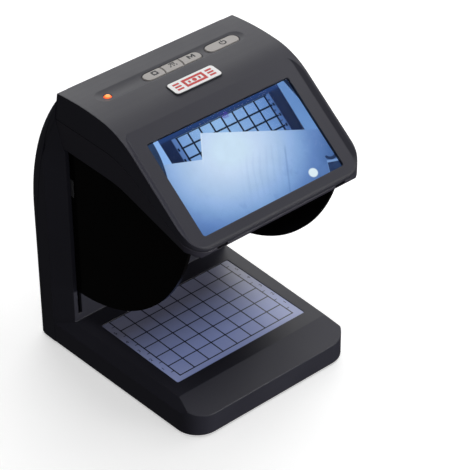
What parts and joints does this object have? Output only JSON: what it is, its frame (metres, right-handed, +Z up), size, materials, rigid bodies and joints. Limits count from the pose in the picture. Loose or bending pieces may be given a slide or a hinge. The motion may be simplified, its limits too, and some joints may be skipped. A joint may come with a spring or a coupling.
{
  "type": "counterfeit bill detector",
  "caption": "Desktop banknote checker: tilted colour screen and push buttons on a head held by a rear column over a gridded light mat with smoked side shields.",
  "frame": {"origin": "on the table under the middle of the housing's bounding box", "axes": "+X to the user's right, -Y towards the user (front), +Z up"},
  "size_m": [0.1176, 0.1367, 0.1711],
  "materials": {
    "housing": "fine-textured matt charcoal",
    "housing_lower": "fine-textured matt charcoal, a little lighter",
    "housing_dark": "matt black",
    "rubber": "matt",
    "smoked_plastic": "dark smoked, polished",
    "clip_plastic": "matt grey",
    "mat_plastic": "translucent white with a printed grid",
    "white_plastic": "matt white",
    "circuit_board": "satin solder mask",
    "led_yellow": "clear gloss",
    "led_violet": "clear gloss",
    "led_red": "lit red",
    "screen_glass": "polished",
    "screen_image": "lit picture",
    "uv_window": "tinted clear",
    "flex_cable": "satin film",
    "ribbon_cable": "matt grey",
    "chip_black": "matt black",
    "lens_black": "gloss black",
    "key_plastic": "warm light grey, printed icons",
    "plate_label": "white enamel with a dark border",
    "screw_steel": "zinc plated"
  },
  "bodies": {
    "housing": {"body_shell": "housing", "bottom_plate": "housing_dark", "rubber_feet": "rubber", "rear_cover": "housing", "head_lower_shell": "housing_lower", "head_upper_shell": "housing", "left_shield": "smoked_plastic", "right_shield": "smoked_plastic", "left_shield_clip": "clip_plastic", "right_shield_clip": "clip_plastic", "light_mat": "mat_plastic", "diffuser_sheet": "white_plastic", "backlight_board": "circuit_board", "backlight_leds": "led_yellow", "display_window": "screen_glass", "display_gasket": "rubber", "display_module": "screen_image", "display_cable": "flex_cable", "main_board": "circuit_board", "main_board_chips": "chip_black", "keypad_board": "circuit_board", "keypad_cable": "ribbon_cable", "tact_switches": "chip_black", "status_led": "led_red", "name_plate": "plate_label", "camera_board": "circuit_board", "camera_lens": "lens_black", "uv_lamp_board": "circuit_board", "uv_leds": "led_violet", "lamp_window": "uv_window", "ir_led_boards": "circuit_board", "power_board": "circuit_board", "dc_jack": "chip_black", "column_cable": "ribbon_cable", "backlight_cable": "ribbon_cable", "body_screws": "screw_steel", "cover_screws": "screw_steel", "head_screws": "screw_steel", "board_screws": "screw_steel"},
    "magnifier_button": {"magnifier_key": "key_plastic", "magnifier_plunger": "white_plastic"},
    "lamp_button": {"lamp_key": "key_plastic", "lamp_plunger": "white_plastic"},
    "mode_button": {"mode_key": "key_plastic", "mode_plunger": "white_plastic"},
    "power_button": {"power_key": "key_plastic", "power_plunger": "white_plastic"}
  },
  "joints": [
    {"name": "magnifier_press", "type": "slide", "parent": "housing", "child": "magnifier_button", "axis": [0, 0, -1], "range_m": [0, 0.0007], "stiffness_N_per_m": 1500, "springref_m": -0.0004},
    {"name": "lamp_press", "type": "slide", "parent": "housing", "child": "lamp_button", "axis": [0, 0, -1], "range_m": [0, 0.0007], "stiffness_N_per_m": 1500, "springref_m": -0.0004},
    {"name": "mode_press", "type": "slide", "parent": "housing", "child": "mode_button", "axis": [0, 0, -1], "range_m": [0, 0.0007], "stiffness_N_per_m": 1500, "springref_m": -0.0004},
    {"name": "power_press", "type": "slide", "parent": "housing", "child": "power_button", "axis": [0, 0, -1], "range_m": [0, 0.0007], "stiffness_N_per_m": 1500, "springref_m": -0.0004}
  ]
}
